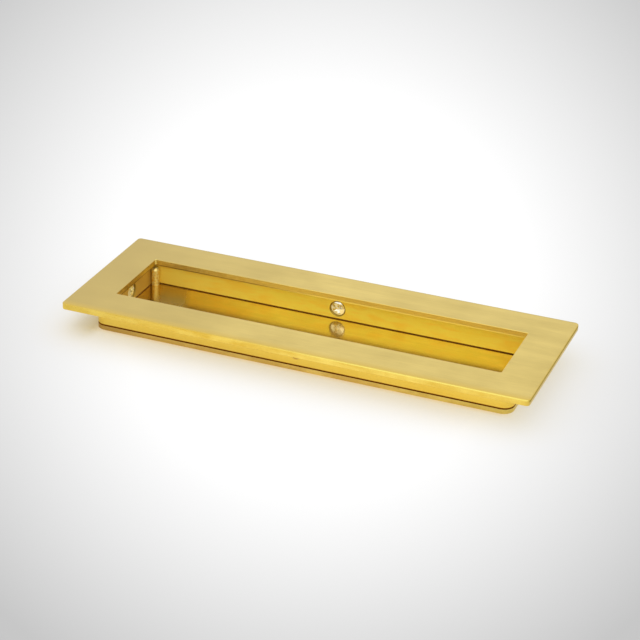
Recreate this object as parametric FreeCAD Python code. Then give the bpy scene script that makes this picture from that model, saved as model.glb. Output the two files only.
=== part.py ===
"""Rectangular brass flush pull for a sliding pocket door.

A flat face plate with a finger opening lies on a ring-shaped wall frame. A back plate
closes the recess. A thin shadow joint runs round between the frame and the back plate.
Four round posts stand in the corners of the recess, riveted through the back plate.
A countersunk hole goes through the middle of each wall, and the back and left holes hold
their fixing screws.

Millimetres. X runs along the length, Y across it and Z up out of the door. The origin is
the middle of the back plate's underside.
"""
import FreeCAD, Part
import math
import os
from FreeCAD import Vector

# Face plate
face_length = 175.0
face_width = 63.0
face_thickness = 2.4
face_corner_radius = 1.5
face_top_edge_radius = 0.4
face_bottom_edge_radius = 0.2

# Finger opening in the face plate, inside a border
border_at_ends = 14.5
border_at_sides = 15.3
opening_corner_radius = 0.5
opening_top_edge_radius = 0.25
opening_bottom_edge_radius = 0.15

# Wall frame under the face plate, set back so that the plate leaves a lip for the fingers
finger_lip = 1.9
wall_thickness = 4.2
wall_height = 8.3
wall_corner_radius = 4.0
recess_corner_radius = 0.5

# Back plate, with the outline of the wall frame
back_thickness = 1.9
back_edge_chamfer = 0.2

# Shadow joint, a groove round the foot of the wall frame, inside and outside
joint_height = 0.3
joint_depth = 0.8

# Corner posts, with a domed top and a tail riveted flush into the back plate
post_diameter = 3.0
post_dome_height = 1.2
post_headroom = 0.95
post_wall_clearance = 0.05
rivet_diameter = 2.0
rivet_head_diameter = 3.0
rivet_head_depth = 0.5
rivet_clearance = 0.05

# Screw hole through the middle of each wall, countersunk from inside the recess
screw_hole_diameter = 3.3
countersink_diameter = 6.4

# Fixing screw with a 90 degree countersunk head and a cross recess
screw_length = 10.0
screw_core_diameter = 2.1
screw_head_diameter = 5.3
screw_head_rim = 0.1
screw_seat_clearance = 0.02
screw_tip_length = 2.5
screw_tip_diameter = 0.4
cross_length = 3.2
cross_floor_length = 1.2
cross_width = 0.75
cross_depth = 1.5
cross_turn = 25.0

# How far a cutting shape reaches past the surface that it cuts
overrun = 1.0
same_place = 0.001

# Sizes that follow from the ones above
opening_length = face_length - 2 * border_at_ends
opening_width = face_width - 2 * border_at_sides
recess_length = opening_length + 2 * finger_lip
recess_width = opening_width + 2 * finger_lip
body_length = recess_length + 2 * wall_thickness
body_width = recess_width + 2 * wall_thickness
wall_base = back_thickness
face_base = wall_base + wall_height
face_top = face_base + face_thickness
hole_height = wall_base + wall_height / 2
post_top = face_base - post_headroom

# Each wall's hole: the point where its axis meets the wall's inner face, and the way out
wall_holes = {
    "front": (Vector(0, -recess_width / 2, hole_height), Vector(0, -1, 0)),
    "back": (Vector(0, recess_width / 2, hole_height), Vector(0, 1, 0)),
    "left": (Vector(-recess_length / 2, 0, hole_height), Vector(-1, 0, 0)),
    "right": (Vector(recess_length / 2, 0, hole_height), Vector(1, 0, 0)),
}
walls_with_a_screw = ("back", "left")


def slab(length, width, corner_radius, base, height):
    """A flat block centred on the Z axis, with its four upright corners rounded."""
    block = Part.makeBox(length, width, height, Vector(-length / 2, -width / 2, base))
    upright = [edge for edge in block.Edges if edge.BoundBox.ZLength > height / 2]
    return block.makeFillet(corner_radius, upright)


def turned(profile):
    """The solid that a closed profile of (radius, height) corners sweeps round the Z axis."""
    corners = [Vector(radius, 0, height) for radius, height in profile]
    face = Part.Face(Part.makePolygon(corners + corners[:1]))
    return face.revolve(Vector(0, 0, 0), Vector(0, 0, 1), 360)


def flat_edges(shape, height, length, width):
    """The edges at one height that lie inside a rectangle centred on the Z axis."""
    found = []
    for edge in shape.Edges:
        box = edge.BoundBox
        middle = edge.CenterOfMass
        is_flat = abs(box.ZMin - height) < same_place and abs(box.ZMax - height) < same_place
        is_inside_x = abs(middle.x) < length / 2 + same_place
        is_inside_y = abs(middle.y) < width / 2 + same_place
        if is_flat and is_inside_x and is_inside_y:
            found.append(edge)
    return found


def set_in_wall(shape, wall):
    """Move a shape made along Z from the origin to one wall's hole, with Z going outwards."""
    start, outward = wall_holes[wall]
    placed = shape.copy()
    placed.Placement = FreeCAD.Placement(start, FreeCAD.Rotation(Vector(0, 0, 1), outward))
    return placed


def make_face_plate():
    """The plate that shows on the door, with softened edges and the finger opening."""
    plate = slab(face_length, face_width, face_corner_radius, face_base, face_thickness)
    plate = plate.makeFillet(face_top_edge_radius, flat_edges(plate, face_top, face_length, face_width))
    plate = plate.makeFillet(
        face_bottom_edge_radius, flat_edges(plate, face_base, face_length, face_width)
    )
    opening = slab(
        opening_length, opening_width, opening_corner_radius,
        face_base - overrun, face_thickness + 2 * overrun,
    )
    plate = plate.cut(opening)
    for height, radius in ((face_top, opening_top_edge_radius), (face_base, opening_bottom_edge_radius)):
        plate = plate.makeFillet(radius, flat_edges(plate, height, opening_length, opening_width))
    return plate


def make_wall_hole():
    """The cutting shape of one screw hole: a 90 degree countersink, then a plain bore."""
    bore = screw_hole_diameter / 2
    mouth = countersink_diameter / 2
    return turned([
        (0, -overrun),
        (mouth + overrun, -overrun),
        (bore, mouth - bore),
        (bore, wall_thickness + overrun),
        (0, wall_thickness + overrun),
    ])


def make_wall_frame():
    """The ring of wall round the recess, with its shadow joint and its four screw holes."""
    frame = slab(body_length, body_width, wall_corner_radius, wall_base, wall_height)
    frame = frame.cut(slab(
        recess_length, recess_width, recess_corner_radius,
        wall_base - overrun, wall_height + 2 * overrun,
    ))

    inner_groove = slab(
        recess_length + 2 * joint_depth, recess_width + 2 * joint_depth,
        recess_corner_radius + joint_depth, wall_base - overrun, joint_height + overrun,
    )
    foot = slab(
        body_length - 2 * joint_depth, body_width - 2 * joint_depth,
        wall_corner_radius - joint_depth, wall_base - overrun, joint_height + overrun,
    )
    outer_groove = slab(
        body_length + 2 * overrun, body_width + 2 * overrun,
        wall_corner_radius + overrun, wall_base - overrun, joint_height + overrun,
    ).cut(foot)
    frame = frame.cut(inner_groove).cut(outer_groove)

    hole = make_wall_hole()
    for wall in wall_holes:
        frame = frame.cut(set_in_wall(hole, wall))
    return frame


def post_places():
    """Where the posts stand: beside both walls at each corner, clear of the corner's round."""
    beside_walls = post_diameter / 2 + post_wall_clearance
    in_round = recess_corner_radius - (recess_corner_radius - beside_walls) / math.sqrt(2)
    inset = max(beside_walls, in_round)
    x = recess_length / 2 - inset
    y = recess_width / 2 - inset
    return {
        "front_left": Vector(-x, -y, 0),
        "front_right": Vector(x, -y, 0),
        "back_left": Vector(-x, y, 0),
        "back_right": Vector(x, y, 0),
    }


def make_back_plate():
    """The plate that closes the recess, countersunk underneath for the posts' tails."""
    plate = slab(body_length, body_width, wall_corner_radius, 0, back_thickness)
    plate = plate.makeChamfer(back_edge_chamfer, flat_edges(plate, 0, body_length, body_width))
    shank = rivet_diameter / 2 + rivet_clearance
    head = rivet_head_diameter / 2 + rivet_clearance
    slope = (head - shank) / rivet_head_depth
    rivet_hole = turned([
        (0, -overrun),
        (head + slope * overrun, -overrun),
        (shank, rivet_head_depth),
        (shank, back_thickness + overrun),
        (0, back_thickness + overrun),
    ])
    for place in post_places().values():
        plate = plate.cut(rivet_hole.translated(place))
    return plate


def make_post():
    """One post: a riveted tail in the back plate, a round shaft and a domed top."""
    shaft = post_diameter / 2
    shoulder = post_top - post_dome_height
    corners = [
        Vector(0, 0, 0),
        Vector(rivet_head_diameter / 2, 0, 0),
        Vector(rivet_diameter / 2, 0, rivet_head_depth),
        Vector(rivet_diameter / 2, 0, back_thickness),
        Vector(shaft, 0, back_thickness),
        Vector(shaft, 0, shoulder),
    ]
    edges = [Part.makeLine(start, end) for start, end in zip(corners, corners[1:])]

    dome_radius = (shaft ** 2 + post_dome_height ** 2) / (2 * post_dome_height)
    dome_centre = post_top - dome_radius
    halfway = shaft / 2
    on_dome = Vector(halfway, 0, dome_centre + math.sqrt(dome_radius ** 2 - halfway ** 2))
    summit = Vector(0, 0, post_top)
    edges.append(Part.Arc(corners[-1], on_dome, summit).toShape())
    edges.append(Part.makeLine(summit, corners[0]))
    return Part.Face(Part.Wire(edges)).revolve(Vector(0, 0, 0), Vector(0, 0, 1), 360)


def make_cross_recess(head_top):
    """The driver's cross in a screw head: two wedges at right angles, narrower at the floor."""
    mouth = cross_length / 2
    floor = cross_floor_length / 2
    slope = (mouth - floor) / cross_depth
    side = Part.makePolygon([
        Vector(-mouth - slope * overrun, -cross_width / 2, head_top - overrun),
        Vector(mouth + slope * overrun, -cross_width / 2, head_top - overrun),
        Vector(floor, -cross_width / 2, head_top + cross_depth),
        Vector(-floor, -cross_width / 2, head_top + cross_depth),
        Vector(-mouth - slope * overrun, -cross_width / 2, head_top - overrun),
    ])
    slot = Part.Face(side).extrude(Vector(0, cross_width, 0))
    across = slot.rotated(Vector(0, 0, 0), Vector(0, 0, 1), 90)
    return slot.fuse(across).rotated(Vector(0, 0, 0), Vector(0, 0, 1), cross_turn)


def make_screw():
    """One fixing screw, seated on the countersink of its hole. Z = 0 is the wall's face."""
    head = screw_head_diameter / 2
    core = screw_core_diameter / 2
    cone_top = countersink_diameter / 2 - head - screw_seat_clearance
    head_top = cone_top - screw_head_rim
    end = head_top + screw_length
    screw = turned([
        (0, head_top),
        (head, head_top),
        (head, cone_top),
        (core, cone_top + head - core),
        (core, end - screw_tip_length),
        (screw_tip_diameter / 2, end),
        (0, end),
    ])
    return screw.cut(make_cross_recess(head_top))


def make_parts():
    """Every piece of the pull by its name."""
    parts = {
        "face_plate": make_face_plate(),
        "wall_frame": make_wall_frame(),
        "back_plate": make_back_plate(),
    }
    post = make_post()
    for corner, place in post_places().items():
        parts["corner_post_" + corner] = post.translated(place)
    screw = make_screw()
    for wall in walls_with_a_screw:
        parts["fixing_screw_" + wall] = set_in_wall(screw, wall)
    return parts


os.makedirs("parts", exist_ok=True)
for name, shape in make_parts().items():
    shape.exportStep("parts/" + name + ".step")
    box = shape.BoundBox
    print(f"{name}: {box.XLength:.2f} x {box.YLength:.2f} x {box.ZLength:.2f} mm, "
          f"z {box.ZMin:.2f} to {box.ZMax:.2f}, {shape.Volume:.0f} mm3, solids {len(shape.Solids)}, "
          f"valid {shape.isValid()}")
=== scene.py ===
# %% [markdown]
# # A brass flush pull for a pocket door
#
# The pull lies on its back plate on a white studio floor. Its solids come from the packed
# frame, at their real size, and nothing here moves or reshapes them. This script gives
# each solid its finish, puts screws with a real thread in place of the two plain ones,
# and sets up the floor, the light and the camera.
#
# Lengths are in metres. X runs along the pull, Y across it and Z up.

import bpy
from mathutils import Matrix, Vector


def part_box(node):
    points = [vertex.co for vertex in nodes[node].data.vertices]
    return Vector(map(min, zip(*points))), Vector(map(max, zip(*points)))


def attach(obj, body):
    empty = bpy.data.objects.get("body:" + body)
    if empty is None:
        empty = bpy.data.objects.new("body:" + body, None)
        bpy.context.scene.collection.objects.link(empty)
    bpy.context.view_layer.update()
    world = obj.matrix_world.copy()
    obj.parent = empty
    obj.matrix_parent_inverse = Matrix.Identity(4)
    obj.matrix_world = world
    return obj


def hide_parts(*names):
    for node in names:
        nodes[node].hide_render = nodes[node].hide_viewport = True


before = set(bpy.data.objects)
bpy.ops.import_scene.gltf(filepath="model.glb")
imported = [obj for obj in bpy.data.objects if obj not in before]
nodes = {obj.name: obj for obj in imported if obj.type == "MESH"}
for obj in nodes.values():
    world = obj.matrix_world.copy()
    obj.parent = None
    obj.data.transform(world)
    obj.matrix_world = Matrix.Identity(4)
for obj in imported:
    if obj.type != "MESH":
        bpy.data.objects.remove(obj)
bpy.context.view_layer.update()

import math
from types import SimpleNamespace

import bmesh
import bpy
import numpy as np
from mathutils import Matrix, Vector

MM = 0.001
plate_low, plate_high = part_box("face_plate")
back_low, back_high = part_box("back_plate")
BACK_TOP = back_high.z
FACE_BASE = plate_low.z
FACE_TOP = plate_high.z
HALF_LENGTH = plate_high.x
HALF_WIDTH = plate_high.y
print("pieces in the frame:", sorted(nodes))
print("back plate's thickness in mm:", round((BACK_TOP - back_low.z) / MM, 2))

# %% [markdown]
# ## Shader maths as plain expressions
#
# A finish is easier to read as a sum than as a web of nodes. `Value` wraps one output
# socket and overloads the operators, so `0.3 + 0.1 * streak` adds the two Math nodes it
# needs. `Finish` holds one material. Its `node` method makes every node: the node's
# settings are set first, then the values or links of its inputs.

# %% The socket wrapper
class Value:
    """One output socket. Arithmetic on it adds a Math node for each operation."""

    def __init__(self, finish, socket):
        self.finish = finish
        self.socket = socket

    def math(self, operation, *others):
        """A Math node with this socket and the others as its inputs, in that order."""
        terms = dict(enumerate((self, *others)))
        return self.finish.node("ShaderNodeMath", {"operation": operation}, terms)

    def __add__(self, other):
        return self.math("ADD", other)

    def __sub__(self, other):
        return self.math("SUBTRACT", other)

    def __mul__(self, other):
        return self.math("MULTIPLY", other)

    def __truediv__(self, other):
        return self.math("DIVIDE", other)

    def __pow__(self, other):
        return self.math("POWER", other)

    def __rsub__(self, other):
        return self * -1.0 + other

    def size(self):
        """The value without its sign."""
        return self.math("ABSOLUTE")

    def most(self, other):
        """The larger of two values."""
        return self.math("MAXIMUM", other)

    def least(self, other):
        """The smaller of two values."""
        return self.math("MINIMUM", other)

    __radd__ = __add__
    __rmul__ = __mul__

    def ramp(self, start, end):
        """0 at start and before it, 1 at end and past it, a straight line between them."""
        settings = {"clamp": True}
        inputs = {"Value": self, "From Min": start, "From Max": end}
        return self.finish.node("ShaderNodeMapRange", settings, inputs, "Result")


# %% The material builder
class Finish:
    """A material under construction, with its Principled shader and its coordinates."""

    def __init__(self, name):
        self.material = bpy.data.materials.new(name)
        self.material.use_nodes = True
        self.tree = self.material.node_tree
        self.shader = self.tree.nodes["Principled BSDF"]
        self.output = self.tree.nodes["Material Output"]
        self.position = self.node("ShaderNodeTexCoord", {}, {}, "Object")
        self.x, self.y, self.z = (
            self.node("ShaderNodeSeparateXYZ", {}, {"Vector": self.position}, axis)
            for axis in "XYZ"
        )

    def node(self, kind, settings, inputs, output=0):
        """Any node: its settings first, then its inputs. Returns one of its outputs."""
        made = self.tree.nodes.new(kind)
        for name, setting in settings.items():
            setattr(made, name, setting)
        for name, value in inputs.items():
            self.plug(value, made.inputs[name])
        return Value(self, made.outputs[output])

    def plug(self, value, socket):
        """Link a Value to a socket, or set the socket to a plain number or colour."""
        if isinstance(value, Value):
            self.tree.links.new(value.socket, socket)
        else:
            socket.default_value = value

    def set(self, **inputs):
        """Set or link the shader's own inputs. An underscore stands for a space."""
        for name, value in inputs.items():
            self.plug(value, self.shader.inputs[name.replace("_", " ")])

    def mix(self, share, first, second):
        """The first colour where share is 0 and the second where it is 1."""
        inputs = {0: share, 6: first, 7: second}
        return self.node("ShaderNodeMix", {"data_type": "RGBA"}, inputs, 2)

    def layers(self, base, *coats):
        """A base colour with coats laid over it in turn, each a share and a colour."""
        for share, coat in coats:
            base = self.mix(share, base, coat)
        return base

    def streaks(self, length, width, detail=2.0):
        """Noise from 0 to 1 in strokes along X, of a length and a width in metres."""
        scaled = {"X": self.x / length, "Y": self.y / width, "Z": self.z / width}
        vector = self.node("ShaderNodeCombineXYZ", {}, scaled, "Vector")
        inputs = {"Vector": vector, "Scale": 1.0, "Detail": detail}
        return self.node("ShaderNodeTexNoise", {}, inputs)

    def clouds(self, size, detail=2.0):
        """Noise from 0 to 1 in round patches of a size in metres."""
        inputs = {"Vector": self.position, "Scale": 1.0 / size, "Detail": detail}
        return self.node("ShaderNodeTexNoise", {}, inputs)

    def inside(self, half_x, half_y, fade):
        """1 in a rectangle round the Z axis, going to 0 over a short way outside it."""
        across = self.x.size().ramp(half_x + fade, half_x)
        along = self.y.size().ramp(half_y + fade, half_y)
        return across * along

    def bump(self, height, distance):
        """A surface normal tilted as if the surface rose by height times distance."""
        inputs = {"Height": height, "Distance": distance}
        self.set(Normal=self.node("ShaderNodeBump", {}, inputs, "Normal"))


def colour(red, green, blue):
    """A colour from its 0 to 255 screen values, as the linear numbers a shader takes."""
    screen = np.array([red, green, blue]) / 255.0
    linear = np.where(screen <= 0.04045, screen / 12.92, ((screen + 0.055) / 1.055) ** 2.4)
    return (*linear.tolist(), 1.0)


# %% [markdown]
# ## Satin, polished and untouched brass
#
# One alloy shows three finishes here. The face was rubbed along its length, which scatters
# the reflection and makes the metal pale. The edges, the walls and the floor of the recess
# were buffed, so they stay deep yellow and mirror each other. Where no wheel reaches, in
# the joints, the metal is dull and dark. The strip in the corner below the lip is painted
# shade.
#
# One solid can carry several of these, so a mask made from the object's own coordinates
# fades from one to the next. A mask is a product of ramps, most of them measured from an
# edge of the solid, and `layers` lays one colour after another through its masks.

# %% Measures that the masks use
BORDER_AT_ENDS = 14.5 * MM
BORDER_AT_SIDES = 15.3 * MM
LIP = 1.9 * MM
JOINT_HEIGHT = 0.3 * MM
BORE_RADIUS = 1.65 * MM
SINK_RADIUS = 3.2 * MM
OPENING_X = HALF_LENGTH - BORDER_AT_ENDS
OPENING_Y = HALF_WIDTH - BORDER_AT_SIDES
RECESS_X = OPENING_X + LIP
RECESS_Y = OPENING_Y + LIP
JOINT_TOP = BACK_TOP + JOINT_HEIGHT
HOLE_HEIGHT = (BACK_TOP + FACE_BASE) / 2
DULL = colour(142, 84, 12)
print("joint top in mm:", round(JOINT_TOP / MM, 2))
print("recess half sizes in mm:", round(RECESS_X / MM, 2), round(RECESS_Y / MM, 2))

# %% [markdown]
# ### Face plate
#
# The face is covered with long thin strokes from the rubbing. A picture of scratches could
# be laid on it, but noise stretched along X never repeats and keeps its size at any
# distance. The long edges were buffed and the ends only sawn. Round the opening are small
# marks: a stain from wear on its far side, a dark line along its top at the left, a line
# along its foot that is painted highlight in its right half and painted shade in its left
# half, and a painted highlight, a glint, in its far left corner.

# %% Places of the marks on the face plate
def face_plate_masks(brass, patches, blots):
    """Masks from 0 to 1, by name, each a product of ramps from the plate's own edges."""
    x, y, z = brass.x, brass.y, brass.z
    opening = brass.inside(OPENING_X + 0.02 * MM, OPENING_Y + 0.02 * MM, 0.1 * MM)
    face = z.ramp(FACE_TOP - 0.38 * MM, FACE_TOP - 0.08 * MM) * (1 - opening)
    end = x.size().ramp(HALF_LENGTH - 0.5 * MM, HALF_LENGTH - 0.1 * MM)
    burr_height = z.ramp(FACE_TOP - 1.4 * MM, FACE_TOP - 0.9 * MM)
    underside = z.ramp(FACE_BASE + 0.06 * MM, FACE_BASE + 0.02 * MM)
    below_edge = z.ramp(FACE_TOP - 0.20 * MM, FACE_TOP - 0.40 * MM)
    worn = x.ramp(-15 * MM, -45 * MM) * (0.5 * patches + 0.5 * blots).ramp(0.42, 0.60)
    left_half = x.ramp(-8 * MM, -34 * MM)
    left_side = x.ramp(0.4 * MM - OPENING_X, 0.1 * MM - OPENING_X)
    foot = z.ramp(FACE_BASE + 0.55 * MM, FACE_BASE + 0.35 * MM) * (1 - underside)
    top = z.ramp(FACE_TOP - 0.3 * MM, FACE_TOP - 0.1 * MM)
    return SimpleNamespace(
        opening=opening,
        face=face,
        end=end,
        sawn_end=end * (1 - face),
        burr=burr_height * (0.3 + 0.7 * x.ramp(-10 * MM, 10 * MM)),
        far_edge=y.ramp(HALF_WIDTH - 1.2 * MM, HALF_WIDTH - 0.3 * MM),
        underside=underside,
        below_edge=below_edge,
        stain=opening * below_edge * (0.05 + 0.65 * worn),
        left_half=left_half,
        left_side=left_side,
        # Painted highlight and painted shade: a line along the opening's foot, bright at the
        # right, dark at the left.
        foot_highlight_and_shade=opening * foot,
        top_line=opening * top * left_half,
        # Painted highlight: a glint in the opening's far left corner.
        corner=opening * left_side * y.ramp(OPENING_Y - 0.6 * MM, OPENING_Y - 0.2 * MM),
    )


# %% Colour of the face
def satin_colour(brass, fine, patches, at):
    """Pale strokes along X, painted darker towards the left as shade, and duller along the far
    edge.

    The near edge is warmer, because the buffing wheel ran over it a little.
    """
    broad = brass.streaks(70 * MM, 5.0 * MM)
    tone = (0.3 * broad + 0.35 * fine + 0.35 * patches).ramp(0.3, 0.7)
    # Painted shade: the face is coloured darker towards its left end, where less light falls.
    painted_shade_to_left = (brass.x + 30 * MM * patches).ramp(10 * MM, -80 * MM)
    near_edge = brass.y.ramp(3.5 * MM - HALF_WIDTH, 0.4 * MM - HALF_WIDTH)
    return brass.layers(
        brass.mix(tone, colour(202, 178, 100), colour(234, 210, 126)),
        (painted_shade_to_left, colour(196, 172, 102)),
        (0.7 * near_edge, colour(218, 186, 84)),
        (0.7 * at.far_edge, colour(190, 174, 112)),
    )


# %% Colour of the long edges
def long_edge_colour(brass, patches, blots, at):
    """Mottled yellow, with a painted highlight line on the front's right half and a dull far
    arris.
    """
    strokes = brass.streaks(9 * MM, 1.6 * MM, detail=3.0)
    mottled = (0.45 * patches + 0.4 * strokes + 0.15 * blots).ramp(0.38, 0.62)
    front = brass.y.ramp(0.5 * MM - HALF_WIDTH, 0.3 * MM - HALF_WIDTH)
    # Painted highlight: a bright line along the front edge's rounding, on its right half.
    painted_highlight_line = (
        front
        * brass.x.ramp(-25 * MM, 25 * MM)
        * brass.z.ramp(FACE_TOP - 0.65 * MM, FACE_TOP - 0.45 * MM)
    )
    far_arris = at.far_edge * brass.z.ramp(FACE_TOP - 0.45 * MM, FACE_TOP - 0.2 * MM)
    return brass.layers(
        brass.mix(mottled, colour(230, 189, 72), colour(250, 219, 106)),
        (painted_highlight_line, colour(255, 238, 124)),
        (0.8 * far_arris, colour(184, 170, 112)),
    )


# %% Colour of everything but the face
def edge_colour(brass, fine, patches, blots, at):
    """The long edges' colour, with the opening's, the underside's and the ends' over it.

    The line at the opening's foot is painted highlight in its right half and painted shade
    in its left half.
    """
    to_left = brass.x.ramp(0, -70 * MM)
    lip = brass.layers(
        brass.mix(to_left, colour(251, 229, 138), colour(255, 240, 152)),
        (0.85 * at.left_side, colour(200, 172, 98)),
    )
    sawn = brass.layers(
        brass.mix(fine, colour(212, 184, 100), colour(230, 204, 122)),
        (at.burr, colour(168, 142, 48)),
    )
    # Painted highlight in the right half, painted shade in the left half.
    foot_highlight_and_shade_colour = brass.mix(at.left_half, colour(255, 224, 100), colour(146, 104, 36))
    return brass.layers(
        long_edge_colour(brass, patches, blots, at),
        (at.opening, lip),
        (at.underside, colour(206, 200, 140)),
        (at.sawn_end, sawn),
        (at.stain, colour(232, 208, 118)),
        (at.foot_highlight_and_shade * (1 - 0.35 * at.left_half), foot_highlight_and_shade_colour),
        ((0.6 + 0.4 * at.left_side) * at.top_line, colour(150, 120, 54)),
        # Painted highlight: the bright glint in the far left corner.
        (at.corner * (1 - at.foot_highlight_and_shade), colour(255, 240, 150)),
    )


# %% Finish of the face plate
def face_plate_finish():
    """Satin face, buffed long edges, sawn ends with a burr, and a worn opening
    with painted highlights and painted shade.

    The painted highlights, the foot line's bright half and the glint in the corner, and the
    burr are partly non-metal, because as mirrors they would show only the dark recess or the
    floor.
    """
    brass = Finish("satin_brass_face")
    fine = brass.streaks(6 * MM, 0.16 * MM, detail=3.0)
    patches = brass.clouds(16 * MM)
    blots = brass.clouds(2.5 * MM, detail=4.0)
    at = face_plate_masks(brass, patches, blots)
    satin = satin_colour(brass, fine, patches, at)
    edge = edge_colour(brass, fine, patches, blots, at)
    # Painted highlight: the foot line's bright right half, partly non-metal.
    painted_foot_highlight = at.foot_highlight_and_shade * (1 - at.left_half)
    brass.set(
        Base_Color=brass.mix(at.face, edge, satin),
        Metallic=1 - painted_foot_highlight.most(0.7 * at.corner * at.below_edge).most(
            0.8 * at.burr * at.sawn_end
        ),
        Specular_IOR_Level=0.0,
        Roughness=0.24 + at.face * (0.13 + 0.06 * fine) + 0.16 * at.end + (
            0.12 * at.opening * at.below_edge
        ),
    )
    brass.bump(at.face * fine + 1.4 * (1 - at.face) * blots, 0.004 * MM)
    return brass.material


# %% [markdown]
# ### Walls
#
# The ring of wall stands between the two plates. Its outer side mirrors the paper, and its
# inner side the recess. A plain mirror came out too dark inside: real buffed brass is full
# of hairlines that catch light from all round. So a share of the inner side is non-metal,
# which does the same, and more of it at the left, where the wall is rougher too.
#
# The holes could be separate faces with a material each. Their masks are simpler: the
# distance from a hole's axis tells how far out a point of the wall lies.

# %% Places of the screw holes
def hole_masks(brass):
    """The bores and the countersinks.

    The distance from a hole's axis is the root of the square of the height above it plus
    the square of the distance across it. A countersink also needs a depth in the wall.
    """
    above = brass.z - HOLE_HEIGHT
    from_axis = [(across ** 2 + above ** 2) ** 0.5 for across in (brass.x, brass.y)]
    bore = from_axis[0].least(from_axis[1]).ramp(
        BORE_RADIUS + 0.05 * MM, BORE_RADIUS + 0.01 * MM
    )
    depths = [brass.y.size() - RECESS_Y, brass.x.size() - RECESS_X]
    sinks = [
        radius.ramp(SINK_RADIUS + 0.05 * MM, SINK_RADIUS)
        * depth.ramp(0.02 * MM, 0.06 * MM)
        * depth.ramp(1.9 * MM, 1.8 * MM)
        for radius, depth in zip(from_axis, depths)
    ]
    return bore, sinks[0].most(sinks[1])


# %% Finish of the walls
def wall_finish():
    """Buffed yellow with warm streaks inside, and a foot outside painted darker as shade.

    Inside, an olive strip of painted shade runs below the lip and the end walls are duller.
    The joint at the foot is dark and not metal. The bores are not metal and painted pale, to
    lift the shade in them, and the countersinks are painted dark, as shade round the heads.
    """
    brass = Finish("buffed_brass_wall")
    inside = brass.inside(RECESS_X + 0.8 * MM, RECESS_Y + 0.8 * MM, 0.2 * MM)
    # Painted shade: an olive strip on the wall's top under the lip, which the floor mirrors.
    painted_shade_below_lip = inside * brass.z.ramp(FACE_BASE - 1.1 * MM, FACE_BASE - 0.6 * MM)
    end_wall = inside * brass.x.size().ramp(RECESS_X - 0.3 * MM, RECESS_X - 0.05 * MM)
    joint = (brass.z + 0.14 * MM * inside).ramp(JOINT_TOP + 0.34 * MM, JOINT_TOP + 0.16 * MM)
    bore, painted_sink_shade = hole_masks(brass)
    to_left = brass.x.ramp(-24 * MM, -58 * MM)
    strokes = brass.streaks(26 * MM, 1.1 * MM)
    patches = brass.clouds(11 * MM)
    blots = brass.clouds(2.2 * MM, detail=3.0)
    tone = (0.4 * strokes + 0.35 * patches + 0.25 * blots).ramp(0.3, 0.7)
    ruddy = (0.5 * brass.streaks(9 * MM, 2.0 * MM) + 0.5 * patches).ramp(0.46, 0.60)
    inner = brass.layers(
        brass.mix(tone, colour(253, 227, 88), colour(255, 242, 112)),
        (to_left, colour(255, 226, 94)),
        (0.7 * ruddy, colour(255, 215, 78)),
    )
    # Painted shade: the outer wall is coloured darker towards its foot under the plate's
    # overhang, and darker at the left.
    painted_shade_to_foot = brass.z.ramp(FACE_BASE - 1.5 * MM, JOINT_TOP + 1 * MM)
    to_right = brass.x.ramp(-60 * MM, 60 * MM)
    outer = brass.layers(
        brass.mix(tone, colour(250, 212, 84), colour(255, 229, 112)),
        (0.6 * painted_shade_to_foot, brass.mix(to_right, colour(230, 196, 86), colour(248, 208, 82))),
    )
    hairlines = (0.26 + 0.30 * to_left) * inside * (1 - end_wall)
    brass.set(
        Base_Color=brass.layers(
            outer,
            (inside, inner),
            (painted_shade_below_lip, colour(222, 204, 142)),
            (end_wall, colour(230, 200, 108)),
            # Painted light: the bores are pale and not metal, to lift the shade inside them.
            (bore, colour(255, 226, 130)),
            # Painted shade: the countersinks are dark, for the shade round the screw heads.
            (painted_sink_shade, colour(160, 132, 50)),
            (joint, brass.mix(inside, DULL, colour(196, 138, 30))),
        ),
        Specular_IOR_Level=0.0,
        Metallic=1 - joint.most(bore).most(hairlines),
        Roughness=0.38 + inside * (0.28 * to_left - 0.10) + 0.06 * strokes + (
            0.5 * joint.most(bore)
        ),
    )
    brass.bump(0.6 * patches + 0.4 * blots, 0.05 * MM)
    return brass.material


# %% [markdown]
# ### Back plate
#
# The top of this plate is the floor of the recess, a soft mirror in which the walls and
# the screws show. Near its left end a dull grey and brown patch is painted on it, a painted
# reflection that clouds the mirror. A painted map could show that, but a band between two
# slanting lines, pushed about by noise, has the same broken outline. The plate's cut edge,
# which shows outside, was never polished and has short strokes of its own.

# %% Place of the tarnish
# Painted reflection: the place of a dull patch in the floor's mirror.
def painted_reflection_mask(brass, patches, specks):
    """A slanting band near the left end that fades out towards the front.

    The band is where x + 0.38 y, pushed about by noise, lies between two numbers.
    """
    slant = brass.x + 0.38 * brass.y + 2 * MM * patches + 1.5 * MM * specks
    band = slant.ramp(-66 * MM, -61 * MM) * slant.ramp(-50 * MM, -53 * MM)
    return band * (brass.y + 8 * MM * specks).ramp(1 * MM, 12 * MM)


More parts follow.
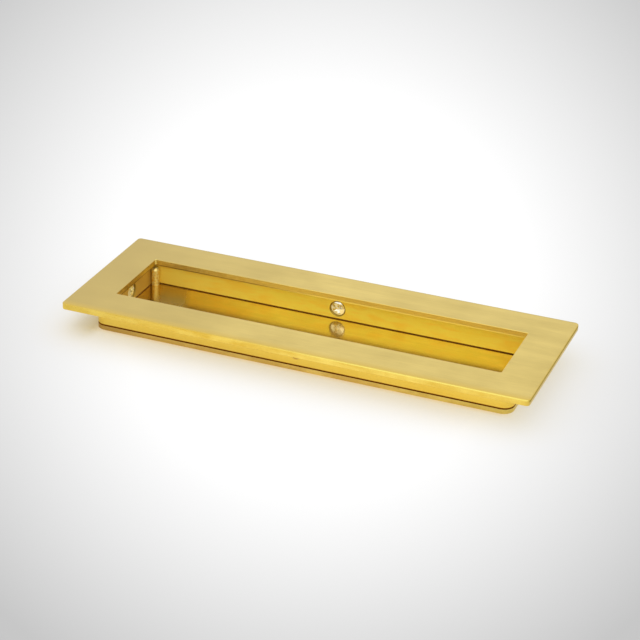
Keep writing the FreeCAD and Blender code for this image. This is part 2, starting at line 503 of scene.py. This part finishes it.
# %% Finish of the back plate
def back_plate_finish():
    """A soft mirror with warm streaks inside, a dark joint round it and a cut edge.

    The mirror is duller at both ends, and the cut edge is painted darker to the left, as
    shade under the plate's left end, and turns a little olive to the right.
    """
    brass = Finish("mirror_brass_floor")
    patches = brass.clouds(9 * MM)
    specks = brass.clouds(3 * MM, detail=4.0)
    strokes = brass.streaks(24 * MM, 0.9 * MM)
    upper = brass.z.ramp(BACK_TOP - 0.16 * MM, BACK_TOP - 0.06 * MM)
    under_wall = brass.x.size().ramp(RECESS_X - 0.1 * MM, RECESS_X + 0.1 * MM).most(
        brass.y.size().ramp(RECESS_Y - 0.1 * MM, RECESS_Y + 0.1 * MM)
    )
    joint = upper * under_wall
    tone = (0.5 * strokes + 0.5 * patches).ramp(0.3, 0.7)
    ruddy = (0.5 * brass.streaks(10 * MM, 2.5 * MM) + 0.5 * specks).ramp(0.46, 0.62)
    mirror = brass.layers(
        brass.mix(tone, colour(211, 189, 120), colour(231, 209, 146)),
        (brass.x.ramp(-30 * MM, -58 * MM), colour(206, 180, 118)),
        (0.7 * brass.x.ramp(40 * MM, 70 * MM), colour(200, 174, 104)),
        (0.5 * ruddy, colour(226, 194, 132)),
    )
    cuts = brass.streaks(7 * MM, 3 * MM, detail=3.0).ramp(0.38, 0.62)
    cut_edge = brass.layers(
        brass.mix(cuts, colour(224, 192, 106), colour(246, 220, 130)),
        # Painted shade: the cut edge is coloured darker towards the left end, under the plate's
        # overhang.
        (0.8 * brass.x.ramp(40 * MM, -70 * MM), colour(198, 164, 88)),
        (0.5 * brass.x.ramp(-56 * MM, -72 * MM), colour(176, 142, 80)),
        (0.5 * brass.x.ramp(20 * MM, 70 * MM), colour(216, 198, 100)),
    )
    # Painted reflection: a dull grey and brown patch near the left end, browner towards the far
    # wall.
    clouded = painted_reflection_mask(brass, patches, specks) * upper * (1 - joint)
    to_far_wall = brass.y.ramp(8 * MM, 14 * MM)
    painted_reflection_colour = brass.mix(to_far_wall, colour(176, 163, 118), colour(184, 154, 96))
    brass.set(
        Base_Color=brass.layers(
            cut_edge,
            (upper * (1 - under_wall), mirror),
            (0.85 * clouded, painted_reflection_colour),
            (joint, DULL),
        ),
        Metallic=1 - joint,
        Specular_IOR_Level=0.0,
        Roughness=0.38 - 0.22 * upper + 0.18 * clouded + 0.5 * joint,
    )
    brass.bump(patches, 0.012 * MM)
    return brass.material


# %% [markdown]
# ### Posts and screws
#
# A post is a short rod of turned brass in a corner of the recess, with a coarse skin that
# small noise gives it, in the colour and in the bump. It is partly non-metal for the same
# reason as the wall beside it. The screws are plated steel, paler and smoother than the
# brass, and the one in the left wall is painted a little yellower, a painted reflection of
# the brass round it.

# %% Finish of the posts
def post_finish():
    """Brass rod, turned and left with a coarse skin."""
    brass = Finish("turned_brass_post")
    blots = brass.clouds(0.9 * MM, detail=3.0)
    tone = blots.ramp(0.35, 0.65)
    brass.set(
        Base_Color=brass.mix(tone, colour(240, 202, 100), colour(255, 246, 170)),
        Metallic=0.8,
        Specular_IOR_Level=0.0,
        Roughness=0.34 + 0.1 * tone,
    )
    brass.bump(blots, 0.03 * MM)
    return brass.material


# %% Finish of the screws
def plated_finish():
    """Bright plate over steel, a little uneven, and painted yellower on the left screw as a
    painted reflection.
    """
    plate = Finish("plated_screw")
    tone = plate.clouds(1.2 * MM).ramp(0.35, 0.65)
    at_left_wall = plate.x.ramp(-60 * MM, -70 * MM)
    plate.set(
        Base_Color=plate.layers(
            plate.mix(tone, colour(244, 238, 218), colour(255, 252, 238)),
            # Painted reflection: the left screw is coloured yellower, for the brass round it.
            (at_left_wall, colour(255, 250, 214)),
        ),
        Metallic=0.92 - 0.2 * at_left_wall,
        Roughness=0.10 + 0.08 * tone,
    )
    return plate.material


# %% Give the solids their finishes
def dress(piece, material):
    """Give a piece its material, in place of any that it has."""
    piece.data.materials.clear()
    piece.data.materials.append(material)


post_brass = post_finish()
screw_plate = plated_finish()
dress(nodes["face_plate"], face_plate_finish())
dress(nodes["wall_frame"], wall_finish())
dress(nodes["back_plate"], back_plate_finish())
for node_name in nodes:
    if node_name.startswith("corner_post"):
        dress(nodes[node_name], post_brass)
    if node_name.startswith("fixing_screw"):
        dress(nodes[node_name], screw_plate)
print("finishes:", sorted(material.name for material in bpy.data.materials))

# %% [markdown]
# ## Fixing screws
#
# The solids have a plain core where the real screw has a thread, a flat head and a narrow
# cross. A screw is a turned thing, so its side is a profile swept round its axis, with a
# ridge added that climbs one pitch for each turn. The top of the head is not turned: it is
# a grid of squares pulled into a disc, because its lines then run along the arms of the
# cross and give them crisp edges. It is domed, because the bright spots on the real heads
# lie as they do on a dome.

# %% Sizes of a screw
HEAD_RADIUS = 2.65 * MM
HEAD_RIM = 0.1 * MM
CORE_RADIUS = 1.05 * MM
CREST_RADIUS = 1.48 * MM
TIP_RADIUS = 0.2 * MM
TIP_LENGTH = 2.5 * MM
LENGTH = 10.0 * MM
PITCH = 1.3 * MM
RIDGE_HALF_WIDTH = 0.28  # in pitches
NECK_END = 2.6 * MM
FADE_START = LENGTH - 1.6 * MM
FADE_END = LENGTH - 0.2 * MM
CROWN = 0.55 * MM
CROSS_DEPTH = 1.15 * MM
CROSS_TURN = math.radians(25)
# The next four are in head radii.
CROSS_HALF_WIDTH = 0.18
CROSS_REACH = 0.78
CROSS_FLOOR = 0.16
CROSS_SIDE = 0.03


def smooth_step(value, start, end):
    """0 at start, 1 at end, and level at both: 3 t squared minus 2 t cubed."""
    share = np.clip((value - start) / (end - start), 0, 1)
    return share * share * (3 - 2 * share)


# %% Top of the head
def head_lines():
    """Grid lines from -1 to 1, with two close together at each side of an arm."""
    outer = np.linspace(CROSS_HALF_WIDTH + CROSS_SIDE, 1, 17)
    inner = np.linspace(-CROSS_HALF_WIDTH, CROSS_HALF_WIDTH, 7)
    return np.concatenate([-outer[::-1], inner, outer])


def head_top(lines):
    """A square pulled into a disc: x = u sqrt(1 - v v / 2) and y = v sqrt(1 - u u / 2).

    The dome is its crown times 1 less the square of the radius. An arm of the cross grows
    deeper in a straight line from its end to the floor in the middle.
    """
    u, v = np.meshgrid(lines, lines, indexing="ij")
    across = u * np.sqrt(1 - v * v / 2)
    along = v * np.sqrt(1 - u * u / 2)
    slope_u = np.clip((CROSS_REACH - np.abs(u)) / (CROSS_REACH - CROSS_FLOOR), 0, 1)
    slope_v = np.clip((CROSS_REACH - np.abs(v)) / (CROSS_REACH - CROSS_FLOOR), 0, 1)
    arm_edge = CROSS_HALF_WIDTH + 1e-9  # the lines on the edge itself are in the arm
    arm_u = np.where(np.abs(v) <= arm_edge, slope_u, 0)
    arm_v = np.where(np.abs(u) <= arm_edge, slope_v, 0)
    depth = CROSS_DEPTH * np.maximum(arm_u, arm_v)
    dome = CROWN * (1 - np.hypot(across, along) ** 2)
    return np.stack([across * HEAD_RADIUS, along * HEAD_RADIUS, dome - depth], axis=-1)


# %% Side of the screw
def screw_radius(down, turn):
    """Radius at a distance below the head's rim and at a turn round the axis.

    The rim is a short cylinder, then a cone of 45 degrees narrows to the core. The ridge
    is a triangle that repeats each pitch and shifts by one pitch in a turn.
    """
    cone = HEAD_RADIUS - np.clip(down - HEAD_RIM, 0, None)
    point = TIP_RADIUS + (LENGTH - down) * (CORE_RADIUS - TIP_RADIUS) / TIP_LENGTH
    core = np.minimum(np.maximum(cone, CORE_RADIUS), point)
    phase = (down / PITCH - turn / (2 * math.pi)) % 1
    ridge = np.clip(1 - np.abs(phase - 0.5) / RIDGE_HALF_WIDTH, 0, 1)
    grown = smooth_step(down, NECK_END, NECK_END + PITCH)
    faded = 1 - smooth_step(down, FADE_START, FADE_END)
    return core + (CREST_RADIUS - CORE_RADIUS) * ridge * grown * faded


# %% Points and faces of a screw
def grid_faces(rows, columns, first=0):
    """Four-cornered faces between neighbours of a grid of rows x columns points."""
    row, column = np.meshgrid(np.arange(rows - 1), np.arange(columns - 1), indexing="ij")
    corner = first + row * columns + column
    around = [corner, corner + 1, corner + columns + 1, corner + columns]
    return np.stack(around, axis=-1).reshape(-1, 4)


def screw_surface():
    """Points and faces of a screw on the Z axis, with its head's rim at Z = 0.

    The rows of the side start at the outline of the head's top, so that the two meet, and
    the last row closes the tip in one point on the axis.
    """
    lines = head_lines()
    count = len(lines)
    top = head_top(lines)
    outline = np.concatenate([top[:-1, 0], top[-1, :-1], top[:0:-1, -1], top[0, :0:-1]])
    turns = np.arctan2(outline[:, 1], outline[:, 0])
    turns = np.append(turns, turns[0])
    down = np.concatenate([[0, HEAD_RIM], np.linspace(HEAD_RIM + 0.15 * MM, LENGTH, 150)])
    down_grid, turn_grid = np.meshgrid(down, turns, indexing="ij")
    radius = screw_radius(down_grid, turn_grid)
    side = np.stack([radius * np.cos(turn_grid), radius * np.sin(turn_grid), -down_grid], -1)
    side = np.concatenate([side, side[-1:] * [0, 0, 1]])
    points = np.concatenate([top.reshape(-1, 3), side.reshape(-1, 3)])
    side_faces = grid_faces(len(side), len(turns), first=count * count)
    return points, np.concatenate([grid_faces(count, count), side_faces])


# %% Make the screws
def weld(mesh):
    """Join points that coincide, turn the faces outwards and shade them smooth."""
    work = bmesh.new()
    work.from_mesh(mesh)
    bmesh.ops.remove_doubles(work, verts=work.verts, dist=0.002 * MM)
    bmesh.ops.recalc_face_normals(work, faces=work.faces)
    work.to_mesh(mesh)
    work.free()
    mesh.shade_smooth()
    mesh.set_sharp_from_angle(angle=math.radians(32))


def make_screw(name, node_name, outward):
    """The screw in place of a solid, with its tip towards outward (a unit vector)."""
    points, faces = screw_surface()
    axis = Vector(outward)
    low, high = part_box(node_name)
    centre = (low + high) / 2
    reach = sum(abs(axis[i]) * (high[i] - low[i]) for i in range(3)) / 2
    place = Matrix.Translation(centre - axis * reach) @ (
        (-axis).to_track_quat("Z", "Y").to_matrix().to_4x4() @ Matrix.Rotation(CROSS_TURN, 4, "Z")
    )
    mesh = bpy.data.meshes.new(name)
    mesh.from_pydata(points.tolist(), [], faces.tolist())
    mesh.transform(place)
    weld(mesh)
    piece = bpy.data.objects.new(name, mesh)
    bpy.context.scene.collection.objects.link(piece)
    dress(piece, screw_plate)
    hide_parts(node_name)
    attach(piece, "root")
    print(name, "faces:", len(mesh.polygons))


make_screw("back_screw", "fixing_screw_back", (0, 1, 0))
make_screw("left_screw", "fixing_screw_left", (-1, 0, 0))

# %% [markdown]
# ## Floor, light and camera
#
# Polished metal shows what stands round it, so the light is a large part of its look. A
# white floor and an even white world fill the reflections, and one large lamp in front, a
# little to the right, leaves the left end darker.
#
# The paper is white round the pull and grey further out, and the brass throws a warm tint
# on it. More lamps could do that, but they would change the metal too. So both are in the
# paper's own colour, made from its own coordinates, and stay in place from any side. The
# shadow would still be too heavy, so about half of what the camera and the mirrors see of
# the paper is its own glow, as bright as its colour. Other rays see plain paper.

# %% Angles and place of the camera
AZIMUTH = math.radians(20.964)
ELEVATION = math.radians(26.606)
ROLL = math.radians(1.7025)
DISTANCE = 713.438 * MM
FOCUS_POINT = Vector((2.203 * MM, -5.192 * MM, FACE_TOP))
FOCAL_PIXELS = 2004.517
IMAGE_PIXELS = 640

# %% Studio floor
def flat_square(name, half):
    """A square in the plane Z = 0, centred on the origin."""
    mesh = bpy.data.meshes.new(name)
    corners = [(-half, -half, 0), (half, -half, 0), (half, half, 0), (-half, half, 0)]
    mesh.from_pydata(corners, [], [(0, 1, 2, 3)])
    made = bpy.data.objects.new(name, mesh)
    bpy.context.scene.collection.objects.link(made)
    return made


studio_floor = flat_square("studio_floor", 6.0)

# %% Measures and colours of the paper
POOL_CENTRE = (-16 * MM, 42 * MM)
POOL_UNIT = 118.4 * MM  # about half the picture's width, at the pool
POOL_DEPTH = 829 * MM  # about the camera's distance over the cosine of its elevation
POOL_SLANT = 0.448  # the sine of that elevation
BODY_X = 79 * MM
BODY_Y = 22 * MM
PAPER_WHITE = (0.985, 0.985, 0.985, 1)
PAPER_GREY = (0.54, 0.54, 0.54, 1)
BRASS_GLOW = (1.0, 0.895, 0.68, 1)
PALE_GLOW = (1.0, 0.955, 0.84, 1)
DEEP_GLOW = (1.0, 0.86, 0.56, 1)
CONTACT_GLOW = (0.99, 0.76, 0.40, 1)


def pool_greyness(paper):
    """0 in the pool of light and 1 far from it.

    The pool is the oval on the floor that looks round from the photograph's place: its
    radius is the distance from the centre, with the part along the view shortened, over
    the depth. That place is fixed numbers, so the oval stays where it is in other views.
    """
    right_x, right_y = math.cos(AZIMUTH), math.sin(AZIMUTH)
    from_x, from_y = paper.x - POOL_CENTRE[0], paper.y - POOL_CENTRE[1]
    sideways = from_x * right_x + from_y * right_y
    away = from_y * right_x - from_x * right_y
    depth = (1 + away / POOL_DEPTH).most(0.3)
    radius = (sideways ** 2 + (POOL_SLANT * away) ** 2) ** 0.5 / (POOL_UNIT * depth)
    return radius.ramp(0.66, 1.50)


# %% Finish of the paper
def paper_finish():
    """White paper that greys outside a pool of light, with warm tints round the body.

    The tint fades with the square of the gap to the body's outline and is paler at the
    right. It is deeper within 2.5 mm of the body and under the plate's left end, where
    the paper glows less, so that more of the shadow shows.
    """
    paper = Finish("white_paper")
    beside_x, beside_y = paper.x.size(), paper.y.size()
    gap_x = (beside_x - BODY_X).most(0)
    gap_y = (beside_y - BODY_Y).most(0)
    gap = (gap_x ** 2 + gap_y ** 2) ** 0.5
    warmth = (1 - gap.ramp(0, 27 * MM)) ** 2
    contact = (1 - gap.ramp(0.3 * MM, 2.5 * MM)) * beside_x.ramp(80 * MM, 75 * MM)
    under_left_end = (
        paper.x.ramp(-76 * MM, -80 * MM)
        * paper.x.ramp(-94 * MM, -86 * MM)
        * beside_y.ramp(36 * MM, 22 * MM)
    )
    tint = paper.layers(
        paper.mix(paper.x.ramp(60 * MM, 92 * MM), BRASS_GLOW, PALE_GLOW),
        (under_left_end, DEEP_GLOW),
    )
    shade = paper.layers(
        PAPER_WHITE,
        (warmth, tint),
        (0.6 * contact, CONTACT_GLOW),
        (pool_greyness(paper), PAPER_GREY),
    )
    paper.set(Base_Color=shade, Roughness=0.9, Specular_IOR_Level=0.1)
    camera_ray, glossy_ray = (
        paper.node("ShaderNodeLightPath", {}, {}, ray)
        for ray in ("Is Camera Ray", "Is Glossy Ray")
    )
    glowing = paper.node("ShaderNodeEmission", {}, {"Color": shade, "Strength": 1.0}, "Emission")
    plain = Value(paper, paper.shader.outputs["BSDF"])
    share = (0.55 - 0.45 * under_left_end) * camera_ray.most(glossy_ray)
    both = paper.node("ShaderNodeMixShader", {}, {0: share, 1: plain, 2: glowing}, "Shader")
    paper.plug(both, paper.output.inputs["Surface"])
    return paper.material


dress(studio_floor, paper_finish())

# %% World and lamp
world = bpy.data.worlds.new("studio")
bpy.context.scene.world = world
world.use_nodes = True
background = world.node_tree.nodes["Background"]
background.inputs["Color"].default_value = (1, 1, 1, 1)
background.inputs["Strength"].default_value = 1.02


def softbox(name, place, side, power):
    """A square lamp at a place, facing the pull, with a side in metres and a power in watts."""
    lamp = bpy.data.lights.new(name, "AREA")
    lamp.size = side
    lamp.energy = power
    made = bpy.data.objects.new(name, lamp)
    bpy.context.scene.collection.objects.link(made)
    made.location = place
    made.rotation_euler = (-Vector(place)).to_track_quat("-Z", "Y").to_euler()


softbox("front", (0.35, -1.0, 0.85), side=1.5, power=3.5)

# %% [markdown]
# The camera's numbers come from the straight edges in the photograph: the angles that make
# the plate's edges fall where they do there, and the focal length in pixels. The camera
# looks at the focus point from a distance, along a line given by two angles, and is rolled
# a little about that line.

# %% Camera at the photograph's place
towards_camera = Vector((
    math.sin(AZIMUTH) * math.cos(ELEVATION),
    -math.cos(AZIMUTH) * math.cos(ELEVATION),
    math.sin(ELEVATION),
))
level_right = Vector((math.cos(AZIMUTH), math.sin(AZIMUTH), 0))
level_up = towards_camera.cross(level_right)
camera_right = level_right * math.cos(ROLL) + level_up * math.sin(ROLL)
camera_up = level_up * math.cos(ROLL) - level_right * math.sin(ROLL)
axes = Matrix((camera_right, camera_up, towards_camera)).transposed().to_4x4()
camera = bpy.data.objects.new("camera", bpy.data.cameras.new("camera"))
bpy.context.scene.collection.objects.link(camera)
camera.matrix_world = Matrix.Translation(FOCUS_POINT + towards_camera * DISTANCE) @ axes
camera.data.lens = FOCAL_PIXELS * camera.data.sensor_width / IMAGE_PIXELS
camera.data.clip_start = 0.01
bpy.context.scene.camera = camera
print("lens in mm:", round(camera.data.lens, 2))

# %% Finish
bpy.context.scene.view_settings.view_transform = "Standard"
